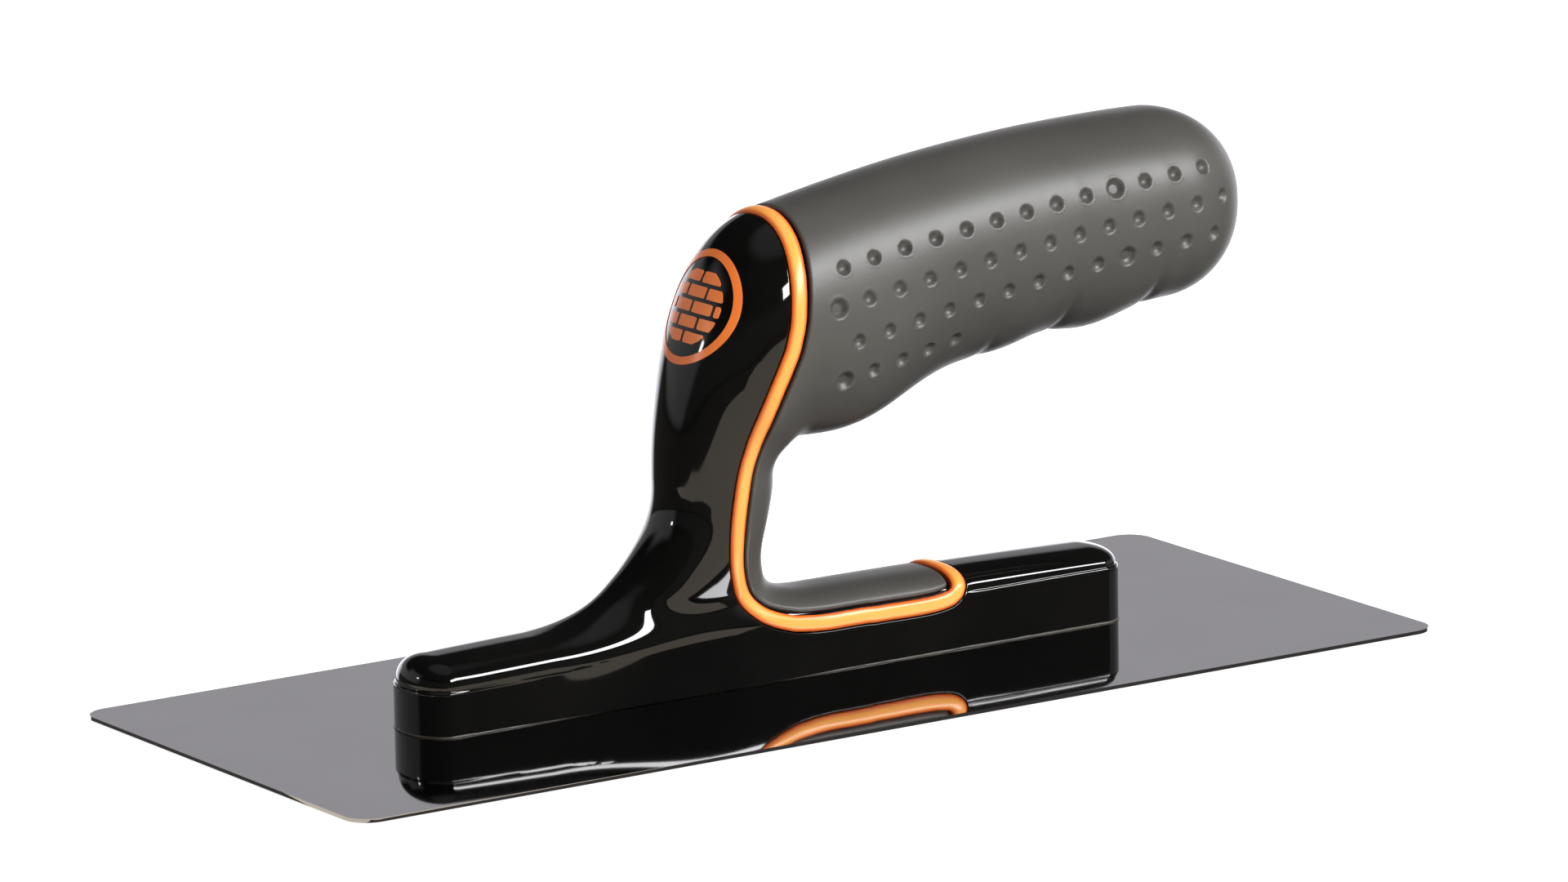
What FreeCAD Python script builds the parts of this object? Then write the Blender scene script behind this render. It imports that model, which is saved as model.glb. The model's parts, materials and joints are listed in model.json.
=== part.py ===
"""Smooth finishing trowel with an open handle: a steel blade bonded and pinned to a moulded handle.

The handle is one glossy moulding (foot, neck, nose and grip core) with a soft grip moulded over it and a
bright seam strip between the two.  +X runs along the blade towards the grip's open end, +Z is up, and the
origin is the centre of the blade's underside.  Millimetres.
"""

import math
import os

import FreeCAD
import Part

V = FreeCAD.Vector

# ---- driving dimensions -------------------------------------------------------------------------------
blade_length = 240.0
blade_width = 100.0
blade_thickness = 0.7
blade_corner = 5.0

bond_thickness = 0.3
bond_margin = 0.5            # the bond stops this far inside the foot's edge

foot_length = 158.0
foot_centre = -1.0           # the foot sits a little towards the nose
foot_width = 18.0
foot_end_depth = 6.0         # how far each rounded end bulges out of the straight sides
skirt_height = 8.2           # straight wall above the bond, up to the ledge
ledge = 0.5                  # the upper part of the foot steps in by this much
foot_end_top = 14.5          # height of the foot's top above the work at its ends
foot_middle_top = 16.0       # and under the neck

grip_end = 106.0             # how far the grip reaches beyond the blade's centre
grip_crest = 97.8            # highest point of the grip
grip_crest_x = 83.0
grip_top_arc = 383.0         # radius of the long arc along the grip's back
grip_cap_radius = 18.3       # the round end of the grip
grip_half_width = 17.0
grip_floor = 45.3            # underside of the grip where it leaves the neck
grip_floor_end = 61.3        # underside of the grip at its round end
first_groove = 0.47          # first finger groove, as a share of the grip's straight length
groove_pitch = 0.22

neck_half_width = 11.2
neck_back_x = -0.6           # back face of the neck, half way up
neck_front_x = -22.8
elbow_radius = 5.7           # inside corner between neck and grip
roundness = 2.2              # exponent of the rounded sections: 2 is an ellipse, more is squarer

soft_thickness = 3.0         # moulded soft layer over the core
strip_width = 3.2
strip_depth = 1.5
strip_proud = 0.3
strip_end_x = 38.3           # where the strip crosses the top of the foot
strip_height = 10.5          # its centre on the side of the foot

core_bore_radius = 10.0
plug_length = 5.0

bar_length = 140.0
bar_width = 12.0
bar_thickness = 4.0
bar_clearance = 0.15
fixing_pitch = 12.8          # screws and studs take turns along the bar
screw_radius = 1.6
screw_head_radius = 3.2
screw_head_height = 1.6
screw_tip_cover = 0.5        # moulding left between a screw's tip and the soft layer over the foot
stud_radius = 2.0
stud_height = 3.8
stud_flange_radius = 2.6
stud_flange_height = 0.2
cell_width = 10.0
cell_length = 12.0
cell_roof = 10.4

badge_radius = 11.3
badge_height = 72.4
badge_tilt = 16.0            # degrees the badge faces upwards
badge_depth = 7.8            # the badge's centre lies this far behind the front of the neck

# ---- places that follow from them ---------------------------------------------------------------------
foot_bottom = blade_thickness + bond_thickness
screw_length = foot_middle_top - soft_thickness - screw_tip_cover - foot_bottom
ledge_z = foot_bottom + skirt_height
foot_left = foot_centre - foot_length / 2
foot_right = foot_centre + foot_length / 2
elbow = V(neck_back_x + elbow_radius, 0, grip_floor - elbow_radius)   # centre of the inside corner
cap_centre = V(grip_end - grip_cap_radius, 0, grip_floor_end + grip_cap_radius)
side_reach = 60.0            # cutters run this far to each side


def smooth_line(points):
    """One smooth edge through these points."""
    curve = Part.BSplineCurve()
    curve.interpolate(Points=points)
    return curve


def ring(inner, outer, half_width, grow=0.0, count=24):
    """Points round a rounded section, from an inner to an outer point of the side profile and back."""
    along = outer.sub(inner)
    half = along.Length / 2 + grow
    along.normalize()
    centre = inner.add(outer).multiply(0.5)
    power = 2.0 / roundness
    points = []
    for k in range(count):
        turn = 2 * math.pi * k / count
        c, s = -math.cos(turn), math.sin(turn)
        reach = half * math.copysign(abs(c) ** power, c)
        side = (half_width + grow) * math.copysign(abs(s) ** power, s) if k % (count // 2) else 0.0
        points.append(V(centre.x + along.x * reach, side, centre.z + along.z * reach))
    return points + points[:1]


def skinned(rings):
    """Solid with one smooth skin through all the rings and a flat cap at each end."""
    surface = Part.BSplineSurface()
    surface.interpolate(rings)
    skin = surface.toShape()
    caps = [Part.Face(Part.Wire([edge])) for edge in skin.Edges if edge.isClosed()]
    solid = Part.Solid(Part.Shell([skin] + caps))
    solid.fix(1e-5, 1e-5, 1e-4)
    return solid


def grip_top(x):
    """Height of the grip's back, a long shallow arc."""
    return grip_crest - (grip_top_arc - math.sqrt(grip_top_arc**2 - (x - grip_crest_x) ** 2))


def underside():
    """Side profile of the grip's underside: low belly, a rise, then finger grooves between low ridges."""
    shape = (
        # share of the way from elbow to round end, share of the rise
        (0.0, 0.0),
        (0.1, 0.0),
        (0.19, 0.11),
        (0.3, 0.39),
        (0.39, 0.56),
        (first_groove, 0.64),
        (first_groove + 0.4 * groove_pitch, 0.7),
        (first_groove + 0.75 * groove_pitch, 0.81),
        (first_groove + groove_pitch, 0.84),
        (first_groove + 1.4 * groove_pitch, 0.79),
        (first_groove + 1.7 * groove_pitch, 0.85),
        (first_groove + 2 * groove_pitch, 0.98),
        (1.0, 0.98),
    )
    run, rise = cap_centre.x - elbow.x, grip_floor_end - grip_floor
    return smooth_line([V(elbow.x + run * x, 0, grip_floor + rise * z) for x, z in shape])


def grip_bottom(x, profile=underside()):
    """Height of the grip's underside."""
    plumb = Part.Line(V(x, 0, 0), V(x, 0, 1))
    return profile.intersect(plumb)[0].Z


def grip_rings(grow):
    """Sections of the grip from its round end to the elbow."""
    rings = []
    for share in (0.985, 0.93, 0.82, 0.65, 0.42, 0.15):
        x = cap_centre.x + (grip_cap_radius + grow) * share
        height = math.sqrt((grip_cap_radius + grow) ** 2 - (x - cap_centre.x) ** 2)
        width = height * (grip_half_width + grow) / (grip_cap_radius + grow)
        low, high = V(x, 0, cap_centre.z - height), V(x, 0, min(cap_centre.z + height, grip_top(x) + grow))
        rings.append(ring(low, high, width))
    steps = 20
    for k in range(steps + 1):
        x = cap_centre.x - 3.0 + (elbow.x - cap_centre.x + 3.0) * k / steps
        rings.append(ring(V(x, 0, grip_bottom(x)), V(x, 0, grip_top(x)), grip_half_width, grow))
    return rings


def elbow_rings(grow):
    """Sections that fan round the elbow, over the nose, from upright to level."""
    top = grip_top(elbow.x) - elbow.z
    front = elbow.x - neck_front_x
    middle_width = (grip_half_width + neck_half_width) / 2
    fan = (
        # degrees from level, reach from the inside corner's centre, half width
        (98, top - 1.3, grip_half_width),
        (108, top - 4.6, grip_half_width - 0.2),
        (119, top - 10.2, grip_half_width - 0.9),
        (131, front + 7.1, middle_width + 1.0),
        (146, front + 3.0, middle_width - 0.9),
        (164, front + 0.9, neck_half_width + 0.6),
        (180, front, neck_half_width),
    )
    rings = []
    for degrees, reach, width in fan:
        a = math.radians(degrees)
        out = V(math.cos(a), 0, math.sin(a))
        rings.append(ring(elbow.add(out * elbow_radius), elbow.add(out * reach), width, grow))
    return rings


def neck_rings(grow):
    """Level sections down the neck, which spreads along the foot as it comes down."""
    spread = (
        # height above the foot's middle, back, front, half width
        (18.8, neck_back_x - 1.0, neck_front_x - 0.1, neck_half_width - 0.1),
        (13.6, neck_back_x - 2.0, neck_front_x - 2.5, neck_half_width - 0.3),
        (9.6, neck_back_x - 2.5, neck_front_x - 5.8, neck_half_width - 0.8),
        (6.6, neck_back_x - 2.2, neck_front_x - 9.0, neck_half_width - 1.3),
        (3.8, neck_back_x - 0.6, neck_front_x - 13.2, foot_width / 2 + 0.1),
        (1.5, neck_back_x + 2.6, neck_front_x - 18.4, foot_width / 2 - ledge - 0.4),
        (0.0, neck_back_x + 6.6, neck_front_x - 24.4, foot_width / 2 - ledge - 0.7),
        (-7.0, neck_back_x + 12.0, neck_front_x - 34.0, foot_width / 2 - ledge - 1.0),
    )
    rings = []
    for above, back, front, width in spread:
        z = foot_middle_top + above
        rings.append(ring(V(back, 0, z), V(front, 0, z), width, grow))
    return rings


def foot_plan(z, inset=0.0):
    """Outline of the foot seen from above: straight sides and half-ellipse ends."""
    half, deep = foot_width / 2 - inset, foot_end_depth
    left, right = foot_left + deep + inset, foot_right - deep - inset
    ends = []
    for x, out in ((left, -deep), (right, deep)):
        side, tip = V(x, half, z), V(x + out, 0, z)
        if half >= deep:
            ellipse, start = Part.Ellipse(side, tip, V(x, 0, z)), 0
        else:  # a narrow foot, whose ends reach further out than they are wide
            ellipse, start = Part.Ellipse(tip, side, V(x, 0, z)), -math.pi / 2
        ends.append(Part.ArcOfEllipse(ellipse, start, start + math.pi).toShape())
    sides = [Part.makeLine(V(left, s * half, z), V(right, s * half, z)) for s in (-1, 1)]
    return Part.Wire(Part.__sortEdges__([ends[0], sides[0], ends[1], sides[1]]))


def foot_top(x):
    """Height of the foot's top: a shallow arch, highest under the neck."""
    share = (x - foot_centre) / (foot_length / 2)
    return foot_end_top + (foot_middle_top - foot_end_top) * (1 - share**2)


def foot_cap(grow):
    """Upper part of the foot: loaf-shaped sections along it, closing at each end."""
    rings = []
    half_length = foot_length / 2 - ledge + grow
    for share in (-1.0, -0.985, -0.95, -0.89, -0.6, -0.3, 0.0, 0.3, 0.6, 0.89, 0.95, 0.985, 1.0):
        x = foot_centre + half_length * share
        from_end = half_length - abs(x - foot_centre)
        bend = min(1.0, from_end / (foot_end_depth + 2.0))
        round_off = 0.35 + 0.65 * math.sqrt(1 - (1 - bend) ** 2)
        half = (foot_width / 2 - ledge + grow) * round_off
        low = ledge_z - 2.0
        high = ledge_z + (foot_top(x) + grow - ledge_z) * round_off
        shoulder = ledge_z
        arch = []
        for k in range(13):
            turn = math.pi * k / 12
            c, s = math.cos(turn), math.sin(turn)
            arch.append(V(x, half * math.copysign(abs(c) ** 0.62, c), shoulder + (high - shoulder) * s**0.9))
        edges = [
            smooth_line(arch).toShape(),
            Part.makeLine(V(x, -half, shoulder), V(x, -half, low)),
            Part.makeLine(V(x, -half, low), V(x, half, low)),
            Part.makeLine(V(x, half, low), V(x, half, shoulder)),
        ]
        rings.append(Part.Wire(edges))
    return Part.makeLoft(rings, True, False)


def skirt(grow):
    """Straight-sided lower part of the foot."""
    top = ledge_z if grow >= 0 else ledge_z - 0.4
    face = Part.Face(foot_plan(foot_bottom, -grow))
    return face.extrude(V(0, 0, top - foot_bottom))


def handle_shape(grow):
    """Outer shape of the whole handle, made larger or smaller all round by grow."""
    stem = skinned(grip_rings(grow) + elbow_rings(grow) + neck_rings(grow))
    return stem.fuse(foot_cap(grow)).fuse(skirt(grow))


def strip_path():
    """Centre of the seam strip in side view: over the nose, down the neck, along the foot, over its top."""
    middle = (neck_back_x + neck_front_x) / 2
    return smooth_line(
        [
            V(neck_back_x + 1.4, 0, grip_crest + 20),
            V(neck_back_x + 0.6, 0, grip_top(0) - 1.0),
            V(neck_back_x - 0.7, 0, badge_height + 5),
            V(neck_back_x - 2.9, 0, badge_height - 6),
            V(middle + 4.6, 0, grip_floor + 11),
            V(middle + 1.6, 0, grip_floor),
            V(middle - 0.4, 0, grip_floor - 10),
            V(middle - 0.5, 0, foot_middle_top + 9),
            V(middle + 2.6, 0, foot_middle_top + 1.2),
            V(neck_back_x - 3.2, 0, strip_height + 2.4),
            V(neck_back_x + 6.0, 0, strip_height + 0.1),
            V((neck_back_x + strip_end_x) / 2, 0, strip_height - 0.2),
            V(strip_end_x - 4.0, 0, strip_height),
            V(strip_end_x - 0.9, 0, strip_height + 1.3),
            V(strip_end_x, 0, strip_height + 4.6),
            V(strip_end_x, 0, foot_middle_top + 12),
        ]
    )


def beside(curve, offset, count=90):
    """The same path moved sideways in the side view."""
    first, last = curve.FirstParameter, curve.LastParameter
    points = []
    for k in range(count + 1):
        t = first + (last - first) * k / count
        here, along = curve.value(t), V(*curve.tangent(t)[0])
        points.append(here.add(V(along.z, 0, -along.x) * offset))
    return smooth_line(points)


def side_cutter(edges):
    """A closed outline in side view, run through to both sides."""
    face = Part.Face(Part.Wire(edges))
    face.translate(V(0, -side_reach, 0))
    return face.extrude(V(0, 2 * side_reach, 0))


def joined(*points):
    return [Part.makeLine(a, b) for a, b in zip(points, points[1:])]


def ends_of(curve):
    return curve.value(curve.FirstParameter), curve.value(curve.LastParameter)


def soft_side(path):
    """Everything behind the strip's centre: the grip, the back of the neck and the top of the foot."""
    start, end = ends_of(path)
    far = grip_end + 30
    return side_cutter([path.toShape()] + joined(end, V(far, 0, end.z), V(far, 0, start.z), start))


def strip_band(path):
    """The strip's own width, run through to both sides."""
    left, right = beside(path, strip_width / 2), beside(path, -strip_width / 2)
    (l0, l1), (r0, r1) = ends_of(left), ends_of(right)
    return side_cutter([left.toShape(), Part.makeLine(l1, r1), right.toShape(), Part.makeLine(r0, l0)])


def upright(radius, height, x, z, y=0.0):
    return Part.makeCylinder(radius, height, V(x, y, z))


def fixing_places():
    """(screw places, stud places) along the bar."""
    screws = [foot_centre + fixing_pitch * k for k in (-4, -2, 0, 2, 4)]
    studs = [foot_centre + fixing_pitch * k for k in (-5, -3, -1, 1, 3, 5)]
    return screws, studs


def make_blade():
    blade = Part.makeBox(
        blade_length, blade_width, blade_thickness, V(-blade_length / 2, -blade_width / 2, 0)
    )
    upright_edges = [e for e in blade.Edges if abs(e.tangentAt(e.FirstParameter).z) > 0.9]
    return blade.makeFillet(blade_corner, upright_edges)


def make_studs():
    """Grooved studs welded to the blade, each with a thin weld flange."""
    studs = []
    for x in fixing_places()[1]:
        stud = upright(stud_radius, stud_height, x, blade_thickness)
        flange = upright(stud_flange_radius, stud_flange_height, x, blade_thickness)
        groove = upright(stud_radius + 1, 0.5, x, blade_thickness + 2.4).cut(
            upright(stud_radius - 0.3, 0.5, x, blade_thickness + 2.4)
        )
        studs.append(stud.fuse(flange).cut(groove).removeSplitter())
    return Part.makeCompound(studs)


def make_bond():
    """Film of adhesive between blade and foot, with a clearance hole round each stud."""
    film = Part.Face(foot_plan(blade_thickness, bond_margin)).extrude(V(0, 0, bond_thickness))
    for x in fixing_places()[1]:
        film = film.cut(upright(stud_flange_radius + 0.2, bond_thickness + 1, x, blade_thickness - 0.5))
    return film


def make_bar():
    """Stiffening bar let into the underside of the foot, countersunk for its screws."""
    bar = Part.makeBox(
        bar_length, bar_width, bar_thickness, V(foot_centre - bar_length / 2, -bar_width / 2, foot_bottom)
    )
    corners = [e for e in bar.Edges if abs(e.tangentAt(e.FirstParameter).z) > 0.9]
    bar = bar.makeFillet(bar_width / 4, corners)
    screws, studs = fixing_places()
    for x in screws:
        bar = bar.cut(upright(screw_radius + 0.2, bar_thickness + 2, x, foot_bottom - 1))
        sink = Part.makeCone(
            screw_head_radius + 0.1, screw_radius + 0.1, screw_head_height, V(x, 0, foot_bottom)
        )
        bar = bar.cut(sink)
    for x in studs:
        bar = bar.cut(upright(stud_radius, bar_thickness + 2, x, foot_bottom - 1))
    return bar


def make_screws():
    """Countersunk thread-forming screws that hold the bar in the foot."""
    screws = []
    for x in fixing_places()[0]:
        head = Part.makeCone(screw_head_radius, screw_radius, screw_head_height, V(x, 0, foot_bottom))
        shank = upright(screw_radius, screw_length - 1.5, x, foot_bottom)
        tip = Part.makeCone(screw_radius, 0.4, 1.5, V(x, 0, foot_bottom + screw_length - 1.5))
        slot = upright(1.4, 0.8, x, foot_bottom)
        screws.append(head.fuse(shank).fuse(tip).removeSplitter().cut(slot))
    return Part.makeCompound(screws)


def foot_cavities():
    """What the moulding leaves out under the foot: the bar's pocket, moulded cells and screw holes."""
    pocket_length, pocket_width = bar_length + 2 * bar_clearance, bar_width + 2 * bar_clearance
    pocket = Part.makeBox(
        pocket_length,
        pocket_width,
        bar_thickness + bar_clearance + 1,
        V(foot_centre - pocket_length / 2, -pocket_width / 2, foot_bottom - 1),
    )
    screws, studs = fixing_places()
    roof = foot_bottom + bar_thickness
    hollow = pocket
    for x in studs:
        corner = V(x - cell_length / 2, -cell_width / 2, roof)
        cell = Part.makeBox(cell_length, cell_width, cell_roof - roof, corner)
        hollow = hollow.fuse(cell)
    for x in screws:
        hollow = hollow.fuse(upright(screw_radius, screw_length + 0.3, x, foot_bottom))
    return hollow


def core_bore():
    """Hollow down the middle of the grip's core, open at its round end."""
    front = V(elbow.x + 8, 0, (grip_top(elbow.x + 8) + grip_bottom(elbow.x + 8)) / 2)
    along = cap_centre.sub(front)
    reach = along.Length + grip_cap_radius + 5
    return Part.makeCylinder(core_bore_radius, reach, front, along)


def badge_cutter():
    """Round column through the front of the nose, square to the badge."""
    a = math.radians(badge_tilt)
    out = V(-math.cos(a), 0, math.sin(a))
    start = V(neck_front_x + badge_depth, 0, badge_height).sub(out * 6)
    return Part.makeCylinder(badge_radius, 20, start, out)


def beyond(x):
    return Part.makeBox(100, 2 * side_reach, 200, V(x, -side_reach, -20))


def build():
    path = strip_path()
    outer, raised = handle_shape(0), handle_shape(strip_proud)
    under_strip, core = handle_shape(-strip_depth), handle_shape(-soft_thickness)
    soft_zone, band = soft_side(path), strip_band(path)
    strip = raised.cut(under_strip).common(band)
    soft_layer = outer.common(soft_zone).cut(core)
    bore = core_bore()
    plug_zone = beyond(grip_end - soft_thickness - plug_length)
    return {
        "blade": make_blade(),
        "blade_studs": make_studs(),
        "bond_film": make_bond(),
        "stiffening_bar": make_bar(),
        "bar_screws": make_screws(),
        "handle_frame": outer.cut(soft_layer).cut(strip).cut(bore).cut(foot_cavities()),
        "core_plug": core.common(bore).common(plug_zone),
        "seam_strip": strip,
        "soft_grip": soft_layer.cut(strip),
        "nose_badge": raised.cut(outer).common(badge_cutter()),
    }


os.makedirs("parts", exist_ok=True)
for name, shape in build().items():
    solids = Part.makeCompound(shape.Solids)
    solids.exportStep(f"parts/{name}.step")
    box = solids.BoundBox
    print(
        f"{name}: {len(shape.Solids)} solid(s), {solids.Volume:.0f} mm3, valid {solids.isValid()},"
        f" x {box.XMin:.1f}..{box.XMax:.1f} y {box.YMin:.1f}..{box.YMax:.1f} z {box.ZMin:.1f}..{box.ZMax:.1f}"
    )
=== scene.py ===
import bpy
import json
import math
import numpy as np
from mathutils import Matrix, Vector
from mathutils.kdtree import KDTree

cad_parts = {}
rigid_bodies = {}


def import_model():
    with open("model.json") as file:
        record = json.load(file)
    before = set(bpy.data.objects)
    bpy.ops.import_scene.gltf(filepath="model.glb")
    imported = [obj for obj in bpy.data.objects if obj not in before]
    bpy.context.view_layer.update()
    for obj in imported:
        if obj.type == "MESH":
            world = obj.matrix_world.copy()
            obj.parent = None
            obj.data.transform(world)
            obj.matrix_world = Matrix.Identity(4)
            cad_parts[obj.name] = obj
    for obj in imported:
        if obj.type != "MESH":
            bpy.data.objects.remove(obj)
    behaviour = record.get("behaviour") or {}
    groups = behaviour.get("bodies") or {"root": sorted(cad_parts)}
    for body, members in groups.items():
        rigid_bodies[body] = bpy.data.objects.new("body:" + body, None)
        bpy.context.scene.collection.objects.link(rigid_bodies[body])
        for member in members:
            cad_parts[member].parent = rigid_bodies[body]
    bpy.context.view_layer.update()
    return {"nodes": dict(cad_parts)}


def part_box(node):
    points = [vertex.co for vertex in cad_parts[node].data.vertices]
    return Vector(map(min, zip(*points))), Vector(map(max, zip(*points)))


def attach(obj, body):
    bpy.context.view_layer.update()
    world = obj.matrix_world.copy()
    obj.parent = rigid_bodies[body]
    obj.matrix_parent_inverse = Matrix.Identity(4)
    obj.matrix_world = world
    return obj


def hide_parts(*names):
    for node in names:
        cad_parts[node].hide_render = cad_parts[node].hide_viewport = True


for spare in list(bpy.data.objects):
    bpy.data.objects.remove(spare)
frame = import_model()

mm = 0.001
_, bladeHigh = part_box("blade")
bodyLow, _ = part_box("handle_frame")
bladeTop = bladeHigh[2] / mm


# small maths

def splineThrough(points):
    # natural cubic through (x, value) points, straight beyond its ends
    x = np.array([p[0] for p in points], float)
    v = np.array([p[1] for p in points], float)
    n = len(x)
    h = np.diff(x)
    a = np.eye(n)
    b = np.zeros(n)
    for i in range(1, n - 1):
        a[i, i - 1 : i + 2] = h[i - 1], 2 * (h[i - 1] + h[i]), h[i]
        b[i] = 6 * ((v[i + 1] - v[i]) / h[i] - (v[i] - v[i - 1]) / h[i - 1])
    m = np.linalg.solve(a, b)

    def value(q):
        q = np.asarray(q, float)
        inside = np.clip(q, x[0], x[-1])
        i = np.clip(np.searchsorted(x, inside) - 1, 0, n - 2)
        t, s, k = inside - x[i], x[i + 1] - inside, h[i]
        out = (m[i] * s**3 + m[i + 1] * t**3) / (6 * k)
        out += (v[i] / k - m[i] * k / 6) * s + (v[i + 1] / k - m[i + 1] * k / 6) * t
        firstSlope = (v[1] - v[0]) / h[0] - h[0] * m[1] / 6
        lastSlope = (v[-1] - v[-2]) / h[-1] + h[-1] * m[-2] / 6
        return out + np.minimum(q - x[0], 0) * firstSlope + np.maximum(q - x[-1], 0) * lastSlope

    return value


def smoothMin(a, b, k):
    h = np.maximum(k - np.abs(a - b), 0) / k
    return np.minimum(a, b) - h * h * k / 4


def smoothMax(a, b, k):
    return -smoothMin(-a, -b, k)


def smoothStep(low, high, q):
    t = np.clip((q - low) / (high - low), 0, 1)
    return t * t * (3 - 2 * t)


# outer shape of the handle, as one field: below zero inside, millimetres

grip = {
    "endX": 106.0,
    "crestZ": 97.8,
    "crestX": 83.0,
    "topArc": 383.0,
    "capRadius": 18.3,
    "capDrop": 0.03,     # how far the round end starts below the crest
    "halfWidth": 17.0,
    "roundness": 2.2,
    "cornerX": 5.1,      # centre of the inside corner between neck and grip
    "cornerZ": 39.6,
    "cornerRadius": 5.7,
    "notches": ((44.5, 0.35, 1.5), (61.6, 0.75, 1.3), (81.6, 0.7, 1.4)),   # place, depth, width
}
capX = grip["endX"] - grip["capRadius"]

gripUnder = splineThrough([
    (5.1, 45.3), (13, 45.2), (21, 47.0), (30, 51.3), (37, 53.9), (44, 55.1), (51, 56.0),
    (57, 57.5), (62, 58.0), (69, 57.6), (75, 58.6), (81, 60.2), (87.7, 61.0),
])
# fan and neck meet level with the corner's centre, and both are flat there, so the gloss shows no crease
fanReach = splineThrough([
    (82, 51.5), (90, 50.2), (98, 48.95), (108, 45.6), (119, 40.0), (131, 35.0), (146, 30.9), (163, 28.6),
    (180, 27.9), (197, 28.6),
])
fanWidth = splineThrough([
    (82, 17), (90, 17), (98, 17), (108, 16.8), (119, 16.1), (131, 15.1), (146, 13.2), (163, 11.7),
    (180, 11.2), (197, 11.7),
])
neckBack = splineThrough([
    (10, 3.0), (14, 0.6), (17, -0.8), (20, -2.0), (22.6, -2.7), (25.6, -2.9), (29.6, -2.3), (34.8, -1.2),
    (39.6, -0.6), (44.4, -1.2),
])
neckFront = splineThrough([
    (8, -50.0), (13, -44.0), (16, -40.5), (19.8, -35.6), (22.6, -31.9), (25.6, -28.7), (29.6, -25.4),
    (34.8, -23.1), (39.6, -22.8), (44.4, -23.1),
])
neckWidth = splineThrough([
    (8, 8.4), (13, 8.6), (16, 8.9), (19.8, 9.6), (25.6, 10.4), (29.6, 10.8), (34.8, 11.1), (39.6, 11.2),
    (44.4, 11.1),
])

foot = {
    "left": bodyLow[0] / mm,
    "right": 78.0,
    "bottom": bladeTop + 0.3,
    "halfWidth": 9.0,
    "endDepth": 6.0,
    "flatHalf": 0.2,     # half width of the flat along the top
    "crown": 2.4,        # 2 is an ellipse, more is fuller at the shoulders
    "endTop": 14.5,
    "middleTop": 15.9,
    "ledge": 0.38,       # step between the upper part and the skirt
    "ledgeLeast": 0.04,  # share of it left in the middle, under the neck
    "ledgeEnds": ((-77, -66), (36, 43)),     # where it fades out to the left and comes back
    "ledgeBlend": 0.25,
    "topScale": 5.5,     # bring both fields to about millimetres
    "skirtScale": 7.5,
    "skirtBlend": 0.5,
    "blend": 5.0,        # softness of the neck's run into the foot
}
footCentre = (foot["left"] + foot["right"]) / 2
footHalf = (foot["right"] - foot["left"]) / 2
ledgeHeight = splineThrough([
    (-80, 9.2), (-60, 9.4), (-30, 10.3), (0, 10.9), (40, 11.4), (60, 11.5), (78, 11.4),
])


def stemField(x, y, z):
    cornerX, cornerZ = grip["cornerX"], grip["cornerZ"]
    arch = np.sqrt(np.maximum(grip["topArc"] ** 2 - (x - grip["crestX"]) ** 2, 1))
    top = grip["crestZ"] - grip["topArc"] + arch
    bar = np.minimum(x, capX)
    low = gripUnder(bar)
    for place, depth, width in grip["notches"]:
        low = low + depth * np.exp(-(((bar - place) / width) ** 2))
    high = np.where(x > capX, grip["crestZ"] - grip["capDrop"], top)
    centre, size = (low + high) / 2, (high - low) / 2
    u = (z - centre) / size
    width = np.full_like(x, grip["halfWidth"])
    beyond = np.maximum(x - capX, 0) / grip["capRadius"]
    # elbow: sections fan round the inside corner
    angle = np.clip(np.degrees(np.arctan2(z - cornerZ, x - cornerX)), 80, 190)
    reach = fanReach(angle)
    radius = np.hypot(x - cornerX, z - cornerZ)
    fanHalf = (reach - grip["cornerRadius"]) / 2
    fanU = (radius - grip["cornerRadius"] - fanHalf) / fanHalf
    inFan = (x < cornerX) & (z > cornerZ)
    # neck: level sections
    inNeck = z <= cornerZ
    back, front = neckBack(z), neckFront(z)
    neckHalf = np.maximum((back - front) / 2, 2)
    neckU = ((back + front) / 2 - x) / neckHalf
    u = np.where(inNeck, neckU, np.where(inFan, fanU, u))
    width = np.where(inNeck, np.maximum(neckWidth(z), 5), np.where(inFan, fanWidth(angle), width))
    size = np.where(inNeck, neckHalf, np.where(inFan, fanHalf, size))
    beyond = np.where(inNeck | inFan, 0, beyond)
    n = grip["roundness"]
    ring = (np.abs(u) ** n + np.abs(y / width) ** n) ** (1 / n)
    return (np.sqrt(ring**2 + beyond**2) - 1) * np.minimum(size, width)


def footField(x, y, z):
    share = (x - footCentre) / footHalf
    top = foot["endTop"] + (foot["middleTop"] - foot["endTop"]) * (1 - np.minimum(share**2, 1))
    line = ledgeHeight(x)
    (fadeFrom, fadeTo), (backFrom, backTo) = foot["ledgeEnds"]
    shown = 1 - smoothStep(fadeFrom, fadeTo, x) * (1 - smoothStep(backFrom, backTo, x))
    ledge = foot["ledge"] * (foot["ledgeLeast"] + (1 - foot["ledgeLeast"]) * shown)
    deep = foot["endDepth"]
    run = np.abs(x - footCentre)
    wide = foot["halfWidth"] - ledge
    plan = np.hypot(np.maximum(run - (footHalf - ledge - deep), 0) / deep, y / wide)
    flat = foot["flatHalf"] / wide
    out = np.maximum(plan - flat, 0) / (1 - flat)
    rise = np.maximum(z - line, 0) / np.maximum(top - line, 1)
    n = foot["crown"]
    loaf = ((out**n + rise**n) ** (1 / n) - 1) * foot["topScale"]
    skirtPlan = np.hypot(np.maximum(run - (footHalf - deep), 0) / deep, y / foot["halfWidth"]) - 1
    skirt = smoothMax(skirtPlan * foot["skirtScale"], z - line, foot["skirtBlend"])
    return smoothMin(loaf, skirt, foot["ledgeBlend"])


def handleField(p):
    x, y, z = p[..., 0], p[..., 1], p[..., 2]
    return smoothMin(stemField(x, y, z), footField(x, y, z), foot["blend"])


def slope(p, step=0.03):
    out = np.empty_like(p)
    for axis in range(3):
        d = np.zeros(3)
        d[axis] = step
        out[..., axis] = (handleField(p + d) - handleField(p - d)) / (2 * step)
    return out


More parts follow.
